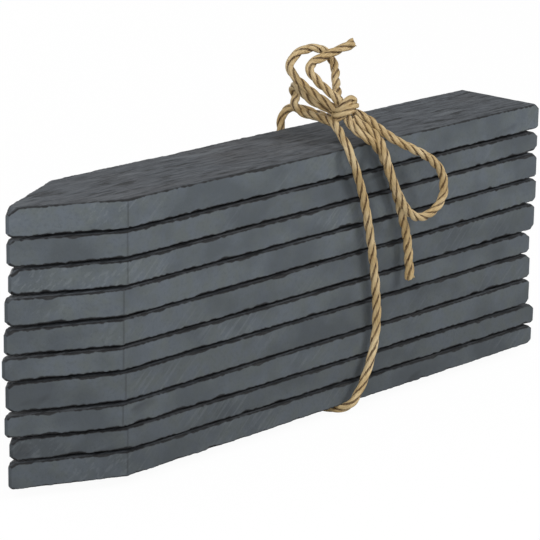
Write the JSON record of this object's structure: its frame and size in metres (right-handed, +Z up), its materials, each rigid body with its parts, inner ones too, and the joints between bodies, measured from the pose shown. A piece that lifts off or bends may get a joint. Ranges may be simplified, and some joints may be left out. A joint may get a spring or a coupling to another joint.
{
  "type": "plant label stake set",
  "caption": "Stack of flat pointed slate label stakes for pots and beds, tied round with twine in a bow; each stake draws out lengthwise from the tie.",
  "frame": {"origin": "on the surface that the set lies on, under the middle of the stack", "axes": "+X along the stakes from their points to their square ends, +Y across them from the side where the bow's right loop hangs to the other side, +Z up through the stack"},
  "size_m": [0.1404, 0.0285, 0.072],
  "materials": {
    "slate": "riven faces, sawn sides, matt",
    "twine": "straw-coloured laid twine, dry and slightly glossy fibres"
  },
  "bodies": {
    "tie": {"twine_band": "twine", "twine_knot": "twine", "twine_ear_left": "twine", "twine_ear_right": "twine", "twine_tail_upper": "twine", "twine_tail_lower": "twine"},
    "stake_01": {"stake_01": "slate"},
    "stake_02": {"stake_02": "slate"},
    "stake_03": {"stake_03": "slate"},
    "stake_04": {"stake_04": "slate"},
    "stake_05": {"stake_05": "slate"},
    "stake_06": {"stake_06": "slate"},
    "stake_07": {"stake_07": "slate"},
    "stake_08": {"stake_08": "slate"},
    "stake_09": {"stake_09": "slate"},
    "stake_10": {"stake_10": "slate"}
  },
  "joints": [
    {"name": "stake_01_draw", "type": "slide", "parent": "tie", "child": "stake_01", "axis": [-1, 0, 0], "range_m": [0, 0.145]},
    {"name": "stake_02_draw", "type": "slide", "parent": "tie", "child": "stake_02", "axis": [1, 0, -0.0068], "range_m": [0, 0.145]},
    {"name": "stake_03_draw", "type": "slide", "parent": "tie", "child": "stake_03", "axis": [1, 0, -0.0023], "range_m": [0, 0.145]},
    {"name": "stake_04_draw", "type": "slide", "parent": "tie", "child": "stake_04", "axis": [-1, 0, 0], "range_m": [0, 0.145]},
    {"name": "stake_05_draw", "type": "slide", "parent": "tie", "child": "stake_05", "axis": [1, 0, -0.0009], "range_m": [0, 0.145]},
    {"name": "stake_06_draw", "type": "slide", "parent": "tie", "child": "stake_06", "axis": [1, 0, 0.0023], "range_m": [0, 0.145]},
    {"name": "stake_07_draw", "type": "slide", "parent": "tie", "child": "stake_07", "axis": [-1, 0, -0.0038], "range_m": [0, 0.145]},
    {"name": "stake_08_draw", "type": "slide", "parent": "tie", "child": "stake_08", "axis": [1, 0, 0.0041], "range_m": [0, 0.145]},
    {"name": "stake_09_draw", "type": "slide", "parent": "tie", "child": "stake_09", "axis": [-1, 0, -0.0026], "range_m": [0, 0.145]},
    {"name": "stake_10_draw", "type": "slide", "parent": "tie", "child": "stake_10", "axis": [1, 0, 0], "range_m": [0, 0.145]}
  ]
}
